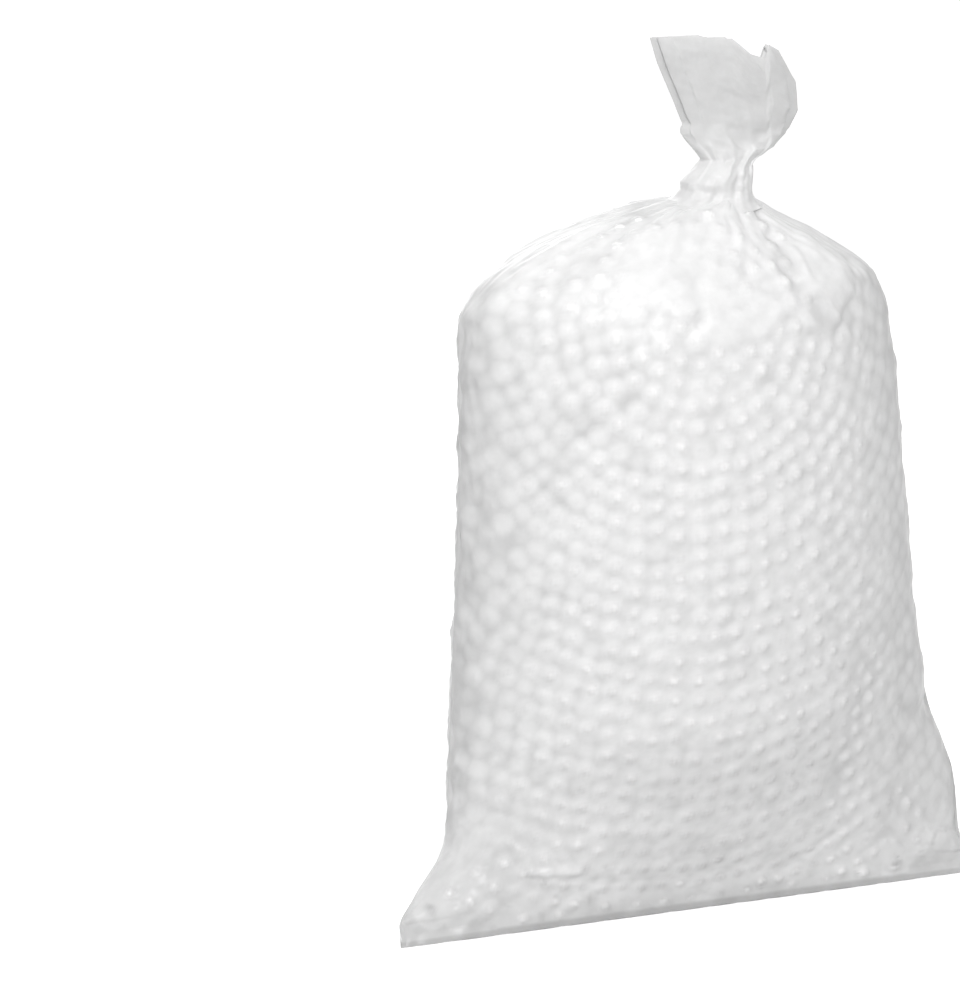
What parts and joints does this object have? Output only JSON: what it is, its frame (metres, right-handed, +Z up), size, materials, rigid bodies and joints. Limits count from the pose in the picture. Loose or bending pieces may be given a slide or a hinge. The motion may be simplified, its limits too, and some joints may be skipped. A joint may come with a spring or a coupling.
{
  "type": "bag of polystyrene beads",
  "caption": "Clear film pillow bag, welded flat across the bottom and knotted at its gathered neck, packed full of small white foam beads and standing upright.",
  "frame": {"origin": "centre of the bounding box at floor level, under the middle of the standing bag", "axes": "+Z up through the knot, -Y out of the front, +X along the bottom weld"},
  "size_m": [0.2, 0.093, 0.2828],
  "materials": {
    "film": "clear thin polythene film, glossy, with soft creases",
    "beads": "white expanded polystyrene, satin"
  },
  "bodies": {
    "root": {"film_bag": "film", "bead_fill": "beads"}
  },
  "joints": []
}
